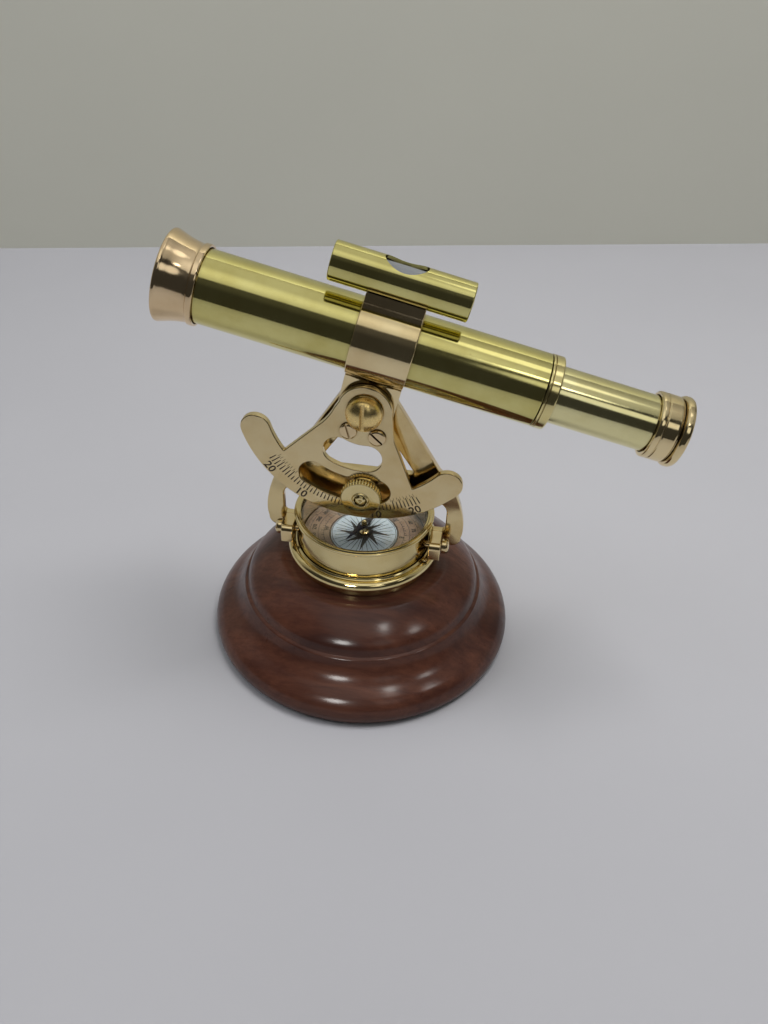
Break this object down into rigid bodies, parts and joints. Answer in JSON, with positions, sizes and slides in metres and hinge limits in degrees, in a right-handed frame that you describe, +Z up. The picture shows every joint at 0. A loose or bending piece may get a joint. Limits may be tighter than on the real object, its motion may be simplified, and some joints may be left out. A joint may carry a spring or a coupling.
{
  "type": "desk theodolite",
  "caption": "Brass telescope with a spirit level on a tilting slotted sector, held by an A-frame over a compass on a round turned wooden base.",
  "frame": {"origin": "centre of the flat underside of the wooden base", "axes": "+Z up, +X towards the eyepiece, -Y towards the side with the clamp knob"},
  "size_m": [0.1782, 0.1186, 0.1568],
  "materials": {
    "wood": "dark red-brown hardwood, turned and gloss lacquered",
    "brass_pale": "pale brass, polished",
    "brass_yellow": "yellow-green brass tube, polished",
    "bronze": "pinkish bronze casting, polished",
    "blued_steel": "dark blued steel",
    "printed_paper": "aged printed dial paper",
    "rose_paper": "pale blue-grey printed card with dark rays",
    "glass": "clear glass",
    "spirit": "pale green-yellow spirit"
  },
  "bodies": {
    "stand": {"wooden_base": "wood", "compass_base_ring": "brass_pale", "ring_screw_front": "brass_pale", "ring_screw_rear": "brass_pale", "compass_housing": "brass_pale", "compass_dial_ring": "printed_paper", "compass_rose_plate": "rose_paper", "needle_pivot": "brass_pale", "compass_glass": "glass", "compass_bezel": "brass_pale", "bracket_left": "bronze", "bracket_right": "bronze", "bracket_screw_left": "brass_pale", "bracket_screw_right": "brass_pale", "foot_screw_left": "brass_pale", "foot_screw_right": "brass_pale", "a_frame": "brass_pale", "pivot_washer": "brass_pale", "pivot_screw": "brass_pale", "pivot_nut": "brass_pale", "clamp_stud": "bronze", "clamp_washer": "brass_pale"},
    "telescope": {"sector_plate": "brass_pale", "sector_screw_left": "bronze", "sector_screw_right": "bronze", "band_clamp": "bronze", "telescope_tube": "brass_yellow", "objective_hood": "bronze", "objective_lens": "glass", "lens_ring": "brass_pale", "end_collar": "bronze", "level_saddle": "bronze", "level_tube": "brass_yellow", "level_vial": "glass", "level_spirit": "spirit", "level_plug_left": "brass_pale", "level_plug_right": "brass_pale"},
    "draw": {"draw_tube": "brass_yellow", "eyepiece_cap": "bronze", "eyepiece_ring": "bronze", "eye_lens": "glass"},
    "knob": {"clamp_knob": "brass_pale"},
    "needle": {"compass_needle": "blued_steel", "needle_cap": "brass_pale"}
  },
  "joints": [
    {"name": "telescope_tilt", "type": "hinge", "parent": "stand", "child": "telescope", "pos_m": [0, 0, 0.1004], "axis": [0, 1, 0], "range_deg": [-37.5, 12.5]},
    {"name": "draw_tube_slide", "type": "slide", "parent": "telescope", "child": "draw", "axis": [0.9763, 0, -0.2164], "range_m": [-0.033, 0.012]},
    {"name": "clamp_knob_turn", "type": "hinge", "parent": "stand", "child": "knob", "pos_m": [0, -0.009, 0.0664], "axis": [0, -1, 0], "range_deg": [0, 270]},
    {"name": "compass_needle_turn", "type": "hinge", "parent": "stand", "child": "needle", "pos_m": [0, 0, 0.046], "axis": [0, 0, 1], "continuous": true}
  ]
}
